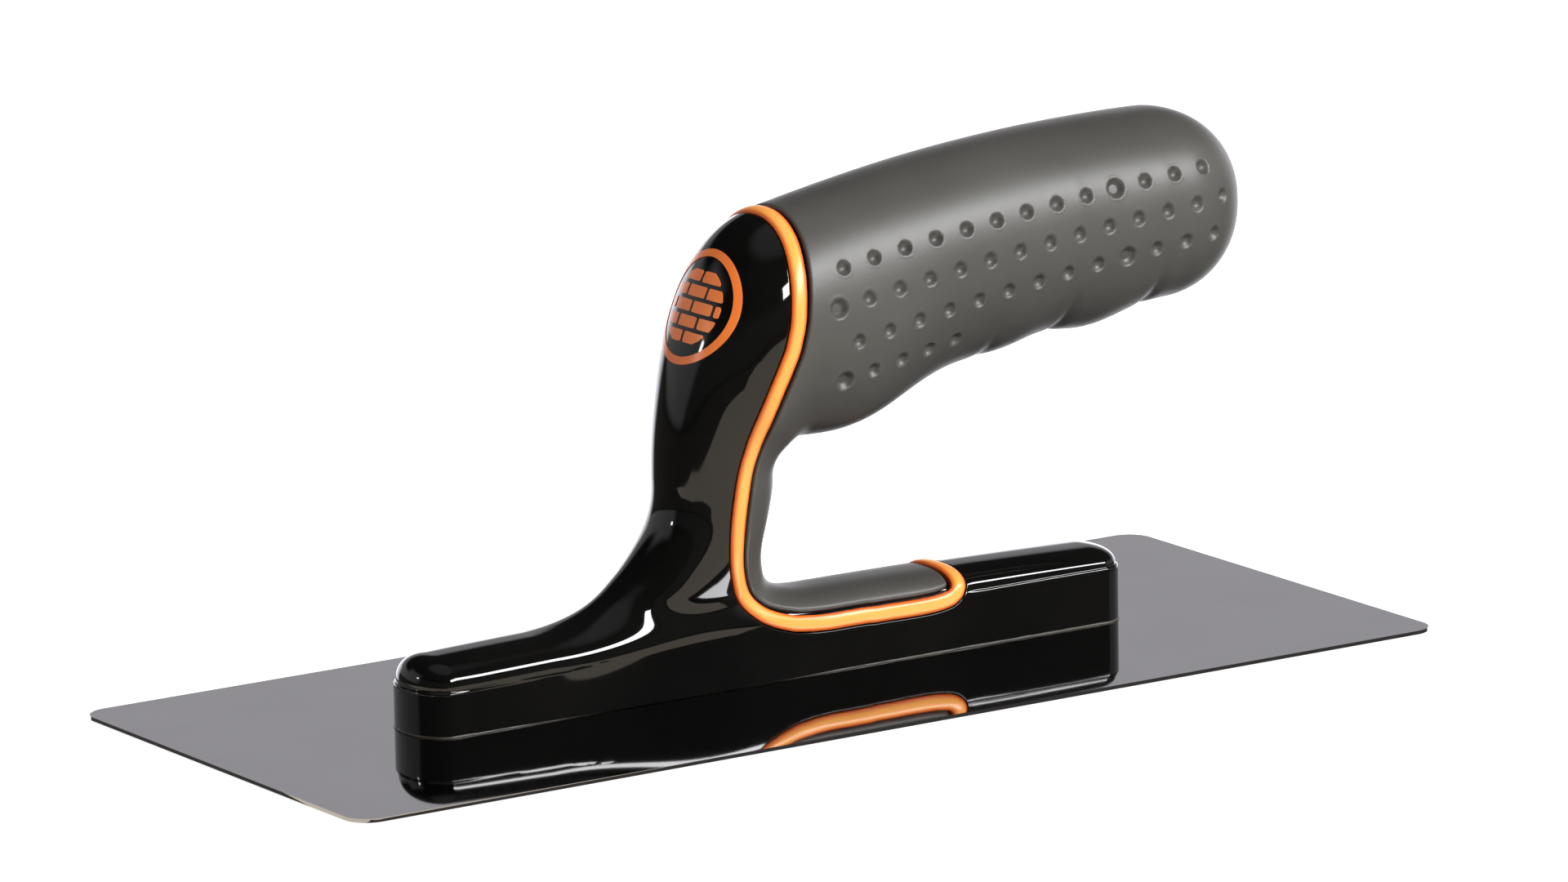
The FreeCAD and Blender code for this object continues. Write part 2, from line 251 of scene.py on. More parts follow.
def ontoSkin(p, rounds=3):
    for _ in range(rounds):
        g = slope(p)
        move = handleField(p)[..., None] * g / np.maximum((g * g).sum(-1, keepdims=True), 1e-6)
        p = p - np.clip(move, -0.6, 0.6)
    return p


def outward(p):
    g = slope(p)
    return g / np.linalg.norm(g, axis=-1, keepdims=True)


skin = {
    "gridStep": 0.8,
    "gridShift": 0.37,   # keeps the grid's planes off the flat faces
    "relaxRounds": 4,
    "relaxPull": 0.6,
}


def skinMesh(step):
    # surface nets on a grid of cubes: one point in each cube that the skin crosses,
    # one quad round each edge that it crosses
    low = np.array([foot["left"] - 1.5, -19.0, foot["bottom"] - 2.2])
    high = np.array([grip["endX"] + 1.5, 19.0, grip["crestZ"] + 1.5])
    count = np.ceil((high - low) / step).astype(int) + 1
    axes = [low[i] + step * (np.arange(count[i]) + skin["gridShift"]) for i in range(3)]
    axes[1] = step * (np.arange(count[1]) - count[1] // 2 + 0.5)
    grid = np.stack(np.meshgrid(*axes, indexing="ij"), -1)
    inside = handleField(grid) < 0
    cells = sum(
        inside[i : count[0] - 1 + i, j : count[1] - 1 + j, k : count[2] - 1 + k].astype(np.int8)
        for i in (0, 1) for j in (0, 1) for k in (0, 1)
    )
    crossed = (cells > 0) & (cells < 8)
    index = np.full(cells.shape, -1)
    index[crossed] = np.arange(crossed.sum())
    points = np.stack([axes[i][c] for i, c in enumerate(np.nonzero(crossed))], -1) + step / 2
    quads = []
    for axis in range(3):
        b, c = (axis + 1) % 3, (axis + 2) % 3
        first = [slice(None)] * 3
        last = [slice(None)] * 3
        first[axis], last[axis] = slice(0, -1), slice(1, None)
        change = inside[tuple(first)] != inside[tuple(last)]
        where = np.argwhere(change)
        where = where[(where[:, b] > 0) & (where[:, c] > 0)]
        where = where[(where[:, b] < count[b] - 1) & (where[:, c] < count[c] - 1)]
        out = inside[tuple(first)][tuple(where.T)]
        ring = []
        for db, dc in ((0, 0), (-1, 0), (-1, -1), (0, -1)):
            cell = where.copy()
            cell[:, b] += db
            cell[:, c] += dc
            ring.append(index[tuple(cell.T)])
        ring = np.stack(ring, 1)
        quads.append(np.where(out[:, None], ring, ring[:, ::-1]))
    quads = np.concatenate(quads)
    return points, quads


def splitQuads(points, quads):
    # each quad into four, points shared along the edges
    edges = np.sort(np.concatenate([quads[:, [i, (i + 1) % 4]] for i in range(4)]), 1)
    key, where = np.unique(edges[:, 0] * len(points) + edges[:, 1], return_inverse=True)
    where = where.reshape(4, len(quads)).T
    middles = (points[key // len(points)] + points[key % len(points)]) / 2
    centres = points[quads].mean(1)
    m, c = len(points), len(points) + len(middles)
    centre = c + np.arange(len(quads))
    parts = [np.stack([quads[:, i], m + where[:, i], centre, m + where[:, i - 1]], 1) for i in range(4)]
    return np.concatenate([points, middles, centres]), np.concatenate(parts)


def relaxed(points, quads, rounds):
    # evens out the spacing along the skin without leaving it
    for _ in range(rounds):
        total, times = np.zeros_like(points), np.zeros(len(points))
        for i in range(4):
            for j in (1, 3):
                np.add.at(total, quads[:, i], points[quads[:, (i + j) % 4]])
                np.add.at(times, quads[:, i], 1)
        mean = total / np.maximum(times, 1)[:, None]
        points = ontoSkin(points * (1 - skin["relaxPull"]) + skin["relaxPull"] * mean, 1)
    return points


skinPoints, skinQuads = skinMesh(skin["gridStep"])
skinPoints = relaxed(ontoSkin(skinPoints), skinQuads, skin["relaxRounds"])
skinPoints, skinQuads = splitQuads(skinPoints, skinQuads)
skinPoints = ontoSkin(skinPoints, 2)
print("handle skin:", len(skinPoints), "points,", len(skinQuads), "faces")


# cutting the skin into its mouldings

def triangles(quads):
    return np.concatenate([quads[:, [0, 1, 2]], quads[:, [0, 2, 3]]])


def cutAlong(points, faces, height):
    # splits triangles where height passes zero; returns points, the faces above and the faces below
    up = height > 0
    pairs = np.sort(np.concatenate([faces[:, [0, 1]], faces[:, [1, 2]], faces[:, [2, 0]]]), 1)
    pairs = np.unique(pairs[up[pairs[:, 0]] != up[pairs[:, 1]]], axis=0)
    share = height[pairs[:, 0]] / (height[pairs[:, 0]] - height[pairs[:, 1]])
    made = points[pairs[:, 0]] * (1 - share[:, None]) + points[pairs[:, 1]] * share[:, None]
    number = len(points) + np.arange(len(pairs))
    number = np.where(share < 0.08, pairs[:, 0], np.where(share > 0.92, pairs[:, 1], number))
    look = dict(zip(map(tuple, pairs.tolist()), number.tolist()))
    count = up[faces].sum(1)
    above, below = [faces[count == 3]], [faces[count == 0]]
    for lone, rest, want in ((above, below, 1), (below, above, 2)):
        some = faces[count == want]
        odd = np.argmax(up[some] == (want == 1), axis=1)
        a, b, c = (some[np.arange(len(some)), (odd + k) % 3] for k in range(3))
        ab = np.array([look[(min(i, j), max(i, j))] for i, j in zip(a.tolist(), b.tolist())], int)
        ac = np.array([look[(min(i, j), max(i, j))] for i, j in zip(a.tolist(), c.tolist())], int)
        lone.append(np.stack([a, ab, ac], 1))
        rest.append(np.stack([ab, b, c], 1))
        rest.append(np.stack([ab, c, ac], 1))
    points = np.concatenate([points, made])
    onLine = np.zeros(len(points), bool)
    onLine[number] = True

    def tidy(part):
        part = np.concatenate(part)
        keep = (part[:, 0] != part[:, 1]) & (part[:, 1] != part[:, 2]) & (part[:, 2] != part[:, 0])
        return part[keep]

    return points, tidy(above), tidy(below), onLine


def openEdges(faces):
    edges = np.concatenate([faces[:, [0, 1]], faces[:, [1, 2]], faces[:, [2, 0]]])
    big = faces.max() + 1
    forth, back = edges[:, 0] * big + edges[:, 1], edges[:, 1] * big + edges[:, 0]
    return edges[~np.isin(forth, back)]


def trimmed(points, faces, *more):
    used = np.unique(np.concatenate([f.ravel() for f in faces]))
    new = np.full(len(points), -1)
    new[used] = np.arange(len(used))
    return [points[used], [new[f] for f in faces]] + [m[used] for m in more]


def meshPiece(name, points, faces, normals=None, shadeMarks=None):
    # faces is a list of arrays, three or four corners each; points in millimetres
    data = bpy.data.meshes.new(name)
    corners = np.concatenate([f.ravel() for f in faces])
    sizes = np.concatenate([np.full(len(f), f.shape[1]) for f in faces])
    data.vertices.add(len(points))
    data.vertices.foreach_set("co", (points * mm).astype(np.float32).ravel())
    data.loops.add(len(corners))
    data.loops.foreach_set("vertex_index", corners.astype(np.int32))
    data.polygons.add(len(sizes))
    starts = np.concatenate([[0], np.cumsum(sizes)[:-1]])
    data.polygons.foreach_set("loop_start", starts.astype(np.int32))
    data.update(calc_edges=True)
    data.validate()
    data.shade_smooth()
    if normals is not None:
        data.normals_split_custom_set_from_vertices(normals.tolist())
    # the optional marks are painted shade for the material, kept as the rim attribute
    if shadeMarks is not None:
        sideShadeMark = data.attributes.new("rim", "FLOAT", "POINT")
        sideShadeMark.data.foreach_set("value", shadeMarks.astype(np.float32))
    piece = bpy.data.objects.new(name, data)
    bpy.context.scene.collection.objects.link(piece)
    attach(piece, "root")
    print("made", name, len(points), "points")
    return piece


# seam line between the hard and the soft moulding

seam = {
    "width": 3.1,
    "gapHard": 0.22,     # hairline on the glossy side
    "gapSoft": 0.8,      # open groove on the soft side
    "crown": 0.42,       # how proud the strip stands
    "fullness": 2.6,     # of the strip's crown: 2 is an arc, more is squarer
    "edge": 0.04,        # how far the crown starts inside the strip's side
    "depth": 1.15,
    "walls": (-0.3, -0.08),      # heights of the points up the strip's side, over its foot
    "rimFrom": 0.42,     # share of the half width where the painted shade on the strip's sides starts, and where it is full
    "rimFull": 0.85,
    "spacing": 0.45,
    "evening": 6,        # rounds of smoothing along the line
    "gripFrom": (5, 22),         # right of this and above it, all is soft
    "path": (            # side view, from over the nose down the neck and along the foot
        (0.8, 118), (0.1, 87.7), (-1.3, 77.4), (-3.5, 66.4), (-7.6, 56.3), (-10.6, 45.3), (-12.6, 35.3),
        (-12.8, 25.0), (-9.8, 17.0), (-4.2, 12.8), (5.4, 10.6), (18.9, 10.3), (34.3, 10.5), (37.4, 11.8),
        (38.3, 15.1), (38.3, 28),
    ),
}


def pathPoints(points, spacing):
    p = np.array(points, float)
    run = np.concatenate([[0], np.cumsum(np.linalg.norm(np.diff(p, axis=0), axis=1) ** 0.7)])
    fine = np.linspace(0, run[-1], 4000)
    line = np.stack([splineThrough(list(zip(run, p[:, i])))(fine) for i in range(p.shape[1])], 1)
    length = np.concatenate([[0], np.cumsum(np.linalg.norm(np.diff(line, axis=0), axis=1))])
    even = np.linspace(0, length[-1], int(length[-1] / spacing) + 1)
    return np.stack([np.interp(even, length, line[:, i]) for i in range(p.shape[1])], 1)


def sideDistance(x, z, line):
    # signed distance in side view, above zero on the soft side
    out = np.empty(len(x))
    along = np.gradient(line, axis=0)
    along /= np.linalg.norm(along, axis=1)[:, None]
    for first in range(0, len(x), 4000):
        part = slice(first, first + 4000)
        d = (x[part, None] - line[None, :, 0]) ** 2 + (z[part, None] - line[None, :, 1]) ** 2
        near = d.argmin(1)
        dx, dz = x[part] - line[near, 0], z[part] - line[near, 1]
        across = along[near, 0] * dz - along[near, 1] * dx
        away = np.sqrt(d.min(1))
        out[part] = np.where(np.abs(across) > 0.3 * away, across, np.sign(across) * away)
    gripX, gripZ = seam["gripFrom"]
    return np.where((z > gripZ) & (x > gripX), np.abs(out), out)


seamSide = pathPoints(seam["path"], 0.5)
skinFaces = triangles(skinQuads)
skinPoints, skinFaces, _, _ = cutAlong(skinPoints, skinFaces, skinPoints[:, 2] - foot["bottom"])
skinPoints, (skinFaces,) = trimmed(skinPoints, [skinFaces])
sideways = sideDistance(skinPoints[:, 0], skinPoints[:, 2], seamSide)
cutPoints, above, _, onLine = cutAlong(skinPoints, skinFaces, sideways)
rim = openEdges(above)
rim = rim[onLine[rim].all(1)]
nextOf = dict(rim.tolist())
loop = [int(rim[0, 0])]
while len(loop) <= len(nextOf) and nextOf.get(loop[-1]) != loop[0]:
    loop.append(nextOf[loop[-1]])
print("seam loop", len(loop), "of", len(rim), "edges")


def evenLoop(line, spacing):
    closed = np.concatenate([line, line[:1]])
    length = np.concatenate([[0], np.cumsum(np.linalg.norm(np.diff(closed, axis=0), axis=1))])
    even = np.linspace(0, length[-1], int(length[-1] / spacing), endpoint=False)
    return np.stack([np.interp(even, length, closed[:, i]) for i in range(3)], 1)


seamLine = evenLoop(cutPoints[loop], 0.5)
for _ in range(seam["evening"]):
    seamLine = ontoSkin((seamLine * 2 + np.roll(seamLine, 1, 0) + np.roll(seamLine, -1, 0)) / 4, 1)
seamLine = ontoSkin(evenLoop(seamLine, seam["spacing"]))


def acrossLoop(line):
    # unit steps along the skin, square to the line
    along = np.roll(line, -1, 0) - np.roll(line, 1, 0)
    along /= np.linalg.norm(along, axis=1)[:, None]
    side = np.cross(along, outward(line))
    return side / np.linalg.norm(side, axis=1)[:, None]


seamAcross = acrossLoop(seamLine)
probe = seamLine + seamAcross
if np.mean(np.sign(sideDistance(probe[:, 0], probe[:, 2], seamSide))) < 0:
    seamAcross = -seamAcross
tree = KDTree(len(seamLine))
for i, p in enumerate(seamLine):
    tree.insert(p, i)
tree.balance()


def nearSeam(points, sideways, reach=7.0):
    # distance across the seam for points near it, and which point of the line is nearest
    away = sideways * 1.0
    nearest = np.zeros(len(points), int)
    for i in np.nonzero(np.abs(sideways) < reach)[0]:
        _, k, d = tree.find(points[i])
        nearest[i] = k
        across = float(np.dot(points[i] - seamLine[k], seamAcross[k]))
        away[i] = across if abs(across) > 0.5 * d else math.copysign(d, sideways[i])
    return away, nearest


seamAway, _ = nearSeam(skinPoints, sideways)
print("seam length", round(len(seamLine) * seam["spacing"]), "mm")


def rimRows(points, faces, onLine, rows, turn):
    # rolls the cut edge over: each row is (step across the surface, step along its normal)
    edges = openEdges(faces)
    edges = edges[onLine[edges].all(1)]
    ids = np.unique(edges)
    at = points[ids]
    _, near = nearSeam(at, np.zeros(len(at)))
    out = outward(at)
    across = seamAcross[near] * turn
    across -= (across * out).sum(1)[:, None] * out
    across /= np.linalg.norm(across, axis=1)[:, None]
    number = np.full(len(points), -1)
    number[ids] = np.arange(len(ids))
    last, added, quads = ids, [], []
    base = len(points)
    for step, rise in rows:
        added.append(at + across * step + out * rise)
        new = base + np.arange(len(ids))
        base += len(ids)
        a, b = number[edges[:, 0]], number[edges[:, 1]]
        quads.append(np.stack([last[b], last[a], new[a], new[b]], 1))
        last = new
    return np.concatenate([points] + added), np.concatenate(quads), ids, last


def twoSided(points, outer, inner, onLine, rows, turn, depth, flipInner):
    # outer faces, a rolled edge and an inner skin sunk by depth, which shares the last row
    points, quads, ids, last = rimRows(points, outer, onLine, rows, turn)
    used = np.unique(inner)
    sunk = points[used] - outward(points[used]) * depth
    new = np.full(len(points), -1)
    new[used] = len(points) + np.arange(len(used))
    new[ids] = last
    normals = np.zeros((len(points) + len(used), 3))
    keep = np.unique(outer)
    normals[keep] = outward(points[keep])
    innerFaces = new[inner][:, ::-1] if flipInner else new[inner]
    return np.concatenate([points, sunk]), [outer, quads, innerFaces], normals


# how each moulding's edge rolls over: (step across, step along the normal)
hardRows = ((0.1, -0.02), (0.19, -0.08), (0.245, -0.2), (0.26, -0.45), (0.26, -seam["depth"]))
softRows = ((0.24, -0.03), (0.46, -0.13), (0.6, -0.29), (0.68, -0.5), (0.7, -0.8), (0.7, -1.1))
half = seam["width"] / 2
hardEdge = -(half + seam["gapHard"] + hardRows[-1][0])
softEdge = half + seam["gapSoft"] + softRows[-1][0]


# glossy moulding: foot, neck and nose, with the seat for the soft layer sunk into it

points, soft, hard, onLine = cutAlong(skinPoints, skinFaces, seamAway - hardEdge)
bodyPoints, bodyFaces, bodyNormals = twoSided(points, hard, soft, onLine, hardRows, 1, seam["depth"], False)
bodyPoints, bodyFaces, bodyNormals = trimmed(bodyPoints, bodyFaces, bodyNormals)
# the underside is closed with a fan of triangles
foundation = openEdges(bodyFaces[0])
foundation = foundation[(np.abs(bodyPoints[foundation][:, :, 2] - foot["bottom"]) < 0.1).all(1)]
centre = bodyPoints[np.unique(foundation)].mean(0) * (1, 0, 1)
hub = np.full(len(foundation), len(bodyPoints))
bodyFaces.append(np.stack([foundation[:, 1], foundation[:, 0], hub], 1))
bodyPoints = np.concatenate([bodyPoints, centre[None]])
bodyNormals = np.concatenate([bodyNormals, np.zeros((1, 3))])
handleBody = meshPiece("handle_body", bodyPoints, bodyFaces, bodyNormals)
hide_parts("handle_frame")


# soft grip with its dimples

dimples = {
    "radius": 1.42,
    "bigRadius": 1.9,
    "depth": 1.02,
    "bowl": 0.8,         # 0.5 is a half ball, more is softer at the edge
    "lip": 0.06,
    "lipAt": 1.12,       # in radii from the centre
    "lipWidth": 0.16,
    "reach": 1.5,
    "probe": 20,         # half width searched for the skin beside each centre
    "rows": (            # first and last centre in side view, how many, which one is big, bow
        ((8.6, 79.1), (90.7, 88.1), 13, 9, 1.0),
        ((6.5, 71.9), (95.0, 82.0), 14, 0, 1.0),
        ((10.8, 65.1), (92.5, 75.1), 13, 9, 1.0),
        ((8.2, 57.7), (33.8, 62.0), 5, 0, 0.2),
    ),
}


def dimpleCentres():
    centres = []
    for first, last, count, big, bow in dimples["rows"]:
        for i in range(count):
            t = i / (count - 1)
            x = first[0] + (last[0] - first[0]) * t
            z = first[1] + (last[1] - first[1]) * t + bow * 4 * t * (1 - t)
            y = np.linspace(0, dimples["probe"], 400)
            inside = handleField(np.stack([np.full_like(y, x), y, np.full_like(y, z)], 1)) < 0
            if not inside[0]:
                continue
            edge = y[inside.nonzero()[0][-1]]
            for side in (-1, 1):
                centres.append((ontoSkin(np.array([x, side * edge, z])[None])[0], i == big))
    return centres


points, soft, _, onLine = cutAlong(skinPoints, skinFaces, seamAway - softEdge)
softDepth = -softRows[-1][1]
softPoints, softFaces, softNormals = twoSided(points, soft, soft, onLine, softRows, -1, softDepth, True)
softPoints, softFaces, softNormals = trimmed(softPoints, softFaces, softNormals)
softOut = outward(softPoints)
outerOnly = np.linalg.norm(softNormals, axis=1) > 0.5
softTree = KDTree(len(softPoints))
for i, p in enumerate(softPoints):
    softTree.insert(p, i)
softTree.balance()
for centre, big in dimpleCentres():
    radius = dimples["bigRadius"] if big else dimples["radius"]
    for _, i, d in softTree.find_range(centre, radius * dimples["reach"]):
        if not outerOnly[i]:
            continue
        t = d / radius
        bowl = -dimples["depth"] * (radius / dimples["radius"]) * max(0, 1 - t * t) ** dimples["bowl"]
        lip = dimples["lip"] * math.exp(-(((t - dimples["lipAt"]) / dimples["lipWidth"]) ** 2))
        softPoints[i] = softPoints[i] + softOut[i] * (bowl + lip)
        softNormals[i] = 0
softGrip = meshPiece("soft_cover", softPoints, softFaces, softNormals)
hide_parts("soft_grip")


# bright strip along the seam

def sweptLoop(profile):
    rings = []
    for across, rise in profile:
        base = ontoSkin(seamLine + seamAcross * across, 3)
        rings.append(base + outward(base) * rise)
    n, m = len(seamLine), len(profile)
    points = np.concatenate(rings)
    i, j = np.meshgrid(np.arange(n), np.arange(m), indexing="ij")
    i, j = i.ravel(), j.ravel()
    after, under = (i + 1) % n, (j + 1) % m
    return points, np.stack([j * n + i, j * n + after, under * n + after, under * n + i], 1)


sides = (-seam["depth"], *seam["walls"])
profile = [(-half, rise) for rise in sides]
for k in range(11):
    t = -1 + 0.2 * k
    profile.append((t * (half - seam["edge"]), seam["crown"] * (1 - abs(t) ** seam["fullness"])))
profile += [(half, rise) for rise in reversed(sides)]
stripPoints, stripFaces = sweptLoop(profile)
# painted shade on the strip's sides: deeper orange-red towards each edge, kept in the rim attribute
sideShadeShare = [smoothStep(seam["rimFrom"], seam["rimFull"], abs(across) / half) for across, _ in profile]
stripSideShade = np.repeat(sideShadeShare, len(seamLine))
seamStrip = meshPiece("bright_strip", stripPoints, [stripFaces], shadeMarks=stripSideShade)
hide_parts("seam_strip")


# thin bead of adhesive squeezed out round the foot

bead = {
    "inside": 0.6,           # how far it runs in under the foot
    "out": (0.06, 0.3),      # how far it shows past the foot
    "rise": 0.38,
    "spacing": 0.8,
    "seed": 7,
}


def footOutline(spacing):
    # seen from above: straight sides and half-ellipse ends, with the way outwards at each point
    deep, wide = foot["endDepth"], foot["halfWidth"]
    turns = np.linspace(-math.pi / 2, math.pi / 2, 60)
    right = np.stack([foot["right"] - deep + deep * np.cos(turns), wide * np.sin(turns)], 1)
    left = np.stack([foot["left"] + deep - deep * np.cos(turns), -wide * np.sin(turns)], 1)
    ring = np.concatenate([right, left])
    even = evenLoop(np.column_stack([ring, np.zeros(len(ring))]), spacing)[:, :2]
    along = np.roll(even, -1, 0) - np.roll(even, 1, 0)
    along /= np.linalg.norm(along, axis=1)[:, None]
    return even, np.stack([along[:, 1], -along[:, 0]], 1)


def beadRing():
    line, away = footOutline(bead["spacing"])
    n = len(line)
    waver = np.random.default_rng(bead["seed"]).random((3, n))
    low, high = bead["out"]
    for _ in range(2):
        waver = (waver + np.roll(waver, 1, 1) + np.roll(waver, -1, 1)) / 3
    waver = (waver - waver.min()) / (waver.max() - waver.min())
    out = low + (high - low) * waver[0]
    rise = bead["rise"] * (0.7 + 0.6 * waver[1])
    # (step out from the foot's edge, height over the blade), once round the bead
    rows = (
        (-bead["inside"], 0.02), (0.0, 0.02), (out, 0.02), (out * 0.92, rise * 0.3),
        (out * 0.55, rise * 0.65), (0.02, rise), (-bead["inside"], 0.29),
    )
    rings = []
    for across, up in rows:
        across, up = np.broadcast_to(across, n), np.broadcast_to(up, n)
        rings.append(np.column_stack([line + away * across[:, None], bladeTop + up]))
    i, j = np.meshgrid(np.arange(n), np.arange(len(rows)), indexing="ij")
    i, j, after = i.ravel(), j.ravel(), (i.ravel() + 1) % n
    under = (j + 1) % len(rows)
    return np.concatenate(rings), np.stack([j * n + i, j * n + after, under * n + after, under * n + i], 1)


beadPoints, beadFaces = beadRing()
bondBead = meshPiece("bond_bead", beadPoints, [beadFaces])
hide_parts("bond_film")


# badge on the nose: a plain ring round a field of bricks

badge = {
    "centre": (-15.0, 72.4),
    "tilt": 16.0,
    "ringRadius": 10.4,
    "ringWidth": 1.5,
    "brick": (6.0, 2.9),     # pitch along a course and from course to course
    "joint": 0.75,
    "signRadius": 7.6,
    "brickRound": 0.25,
    "rise": 0.12,
    "sunk": 0.25,
    "reach": 9,              # how far behind the badge's face the nose still counts
}
tilt = math.radians(badge["tilt"])
badgeOut = np.array([-math.cos(tilt), 0, math.sin(tilt)])
badgeUp = np.array([math.sin(tilt), 0, math.cos(tilt)])
fromBadge = skinPoints - np.array([badge["centre"][0], 0, badge["centre"][1]])
badgeU, badgeV, badgeW = -fromBadge[:, 1], fromBadge @ badgeUp, fromBadge @ badgeOut


def boxShape(u, v, halfLong, halfHigh, rounding):
    du, dv = np.abs(u) - halfLong + rounding, np.abs(v) - halfHigh + rounding
    return np.hypot(np.maximum(du, 0), np.maximum(dv, 0)) + np.minimum(np.maximum(du, dv), 0) - rounding


def signShape(u, v):
    # courses of bricks, each course half a brick along from the next, kept inside a round field
    pitch, course = badge["brick"]
    halfLong, halfHigh = (pitch - badge["joint"]) / 2, (course - badge["joint"]) / 2
    row = np.round(v / course)
    along = u + np.where(row % 2 == 0, 0.5, 0.0) * pitch
    along = along - pitch * np.round(along / pitch)
    brick = boxShape(along, v - row * course, halfLong, halfHigh, badge["brickRound"])
    return np.maximum(brick, np.hypot(u, v) - badge["signRadius"])


def onNose(height):
    return np.where(badgeW > -badge["reach"], height, -5.0)


def raisedPatch(height):
    # the part of the nose where height is above zero, raised a little and closed underneath
    rise, drop = badge["rise"], badge["sunk"]
    points, patch, _, onLine = cutAlong(skinPoints, skinFaces, height)
    points, (patch,), onLine = trimmed(points, [patch], onLine)
    out = outward(points)
    edges = openEdges(patch)
    n = len(points)
    top, shoulder, low = points + out * rise, points + out * (rise - 0.05), points - out * drop
    walls = [np.stack([edges[:, 1], edges[:, 0], edges[:, 0] + n, edges[:, 1] + n], 1)]
    walls.append(np.stack([edges[:, 1] + n, edges[:, 0] + n, edges[:, 0] + 2 * n, edges[:, 1] + 2 * n], 1))
    normals = np.concatenate([out, np.zeros_like(out), np.zeros_like(out)])
    return np.concatenate([top, shoulder, low]), [patch] + walls + [patch[:, ::-1] + 2 * n], normals


radius = np.hypot(badgeU, badgeV)
ringPatch = raisedPatch(onNose(badge["ringWidth"] / 2 - np.abs(radius - badge["ringRadius"])))
signPatch = raisedPatch(onNose(-signShape(badgeU, badgeV)))
offset = len(ringPatch[0])
badgePoints = np.concatenate([ringPatch[0], signPatch[0]])
badgeNormals = np.concatenate([ringPatch[2], signPatch[2]])
badgeFaces = ringPatch[1] + [f + offset for f in signPatch[1]]
badgePoints, badgeFaces, badgeNormals = trimmed(badgePoints, badgeFaces, badgeNormals)
noseBadge = meshPiece("nose_sign", badgePoints, badgeFaces, badgeNormals)
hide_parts("nose_badge")


# materials

def nodeGroup(name, inputs, outputs):
    group = bpy.data.node_groups.new(name, "ShaderNodeTree")
    for label, value in inputs:
        socket = group.interface.new_socket(label, in_out="INPUT", socket_type="NodeSocketFloat")
        socket.default_value = value
    for label in outputs:
        group.interface.new_socket(label, in_out="OUTPUT", socket_type="NodeSocketFloat")
    return group, group.nodes.new("NodeGroupInput"), group.nodes.new("NodeGroupOutput")


def link(tree, source, target):
    tree.links.new(source, target)


def buildGrain():
    # fine moulded grain: height for bump and a little roughness change
    group, given, made = nodeGroup(
        "mouldedGrain",
        (("Scale", 4000), ("Roughness", 0.5), ("Spread", 0.05)),
        ("Height", "Roughness", "Mask"),
    )
    place = group.nodes.new("ShaderNodeTexCoord")
    fine = group.nodes.new("ShaderNodeTexNoise")
    fine.inputs["Detail"].default_value = 3
    fine.inputs["Roughness"].default_value = 0.6
    broad = group.nodes.new("ShaderNodeTexNoise")
    broad.inputs["Scale"].default_value = 45
    broad.inputs["Detail"].default_value = 5
    link(group, place.outputs["Object"], fine.inputs["Vector"])
    link(group, place.outputs["Object"], broad.inputs["Vector"])
    link(group, given.outputs["Scale"], fine.inputs["Scale"])
    link(group, fine.outputs["Fac"], made.inputs["Height"])
    centred = group.nodes.new("ShaderNodeMath")
    centred.operation = "SUBTRACT"
    centred.inputs[1].default_value = 0.5
    link(group, broad.outputs["Fac"], centred.inputs[0])
    spread = group.nodes.new("ShaderNodeMath")
    spread.operation = "MULTIPLY_ADD"
    link(group, centred.outputs[0], spread.inputs[0])
    link(group, given.outputs["Spread"], spread.inputs[1])
    link(group, given.outputs["Roughness"], spread.inputs[2])
    link(group, spread.outputs[0], made.inputs["Roughness"])
    link(group, broad.outputs["Fac"], made.inputs["Mask"])
    return group


mouldedGrain = buildGrain()


def surface(name, look):
    # one finish: colour between two shades, grain bump, roughness that wanders
    material = bpy.data.materials.new(name)
    material.use_nodes = True
    tree = material.node_tree
    shader = tree.nodes["Principled BSDF"]
    grain = tree.nodes.new("ShaderNodeGroup")
    grain.node_tree = mouldedGrain
    grain.inputs["Scale"].default_value = look["grainScale"]
    grain.inputs["Roughness"].default_value = look["roughness"]
    grain.inputs["Spread"].default_value = look["spread"]
    shade = tree.nodes.new("ShaderNodeValToRGB")
    shade.color_ramp.elements[0].position, shade.color_ramp.elements[1].position = 0.3, 0.7
    shade.color_ramp.elements[0].color = (*look["dark"], 1)
    shade.color_ramp.elements[1].color = (*look["light"], 1)
    link(tree, grain.outputs["Mask"], shade.inputs["Fac"])
    colour = shade.outputs["Color"]
    if "rim" in look:        # painted shade: deeper colour down the sides, where they turn away from the light, as the piece is marked
        shadeMark = tree.nodes.new("ShaderNodeAttribute")
        shadeMark.attribute_name = "rim"
        sideShadeMix = tree.nodes.new("ShaderNodeMix")
        sideShadeMix.data_type = "RGBA"
        link(tree, shadeMark.outputs["Fac"], sideShadeMix.inputs["Factor"])
        link(tree, colour, sideShadeMix.inputs["A"])
        sideShadeMix.inputs["B"].default_value = (*look["rim"], 1)
        colour = sideShadeMix.outputs["Result"]
    link(tree, colour, shader.inputs["Base Color"])
    link(tree, grain.outputs["Roughness"], shader.inputs["Roughness"])
    bump = tree.nodes.new("ShaderNodeBump")
    bump.inputs["Strength"].default_value = look["bump"]
    bump.inputs["Distance"].default_value = look["grainDepth"]
    link(tree, grain.outputs["Height"], bump.inputs["Height"])
    link(tree, bump.outputs["Normal"], shader.inputs["Normal"])
    shader.inputs["Metallic"].default_value = look.get("metallic", 0)
    shader.inputs["IOR"].default_value = look.get("ior", 1.5)
    return material


def dress(piece, material):
    piece.data.materials.clear()
    piece.data.materials.append(material)


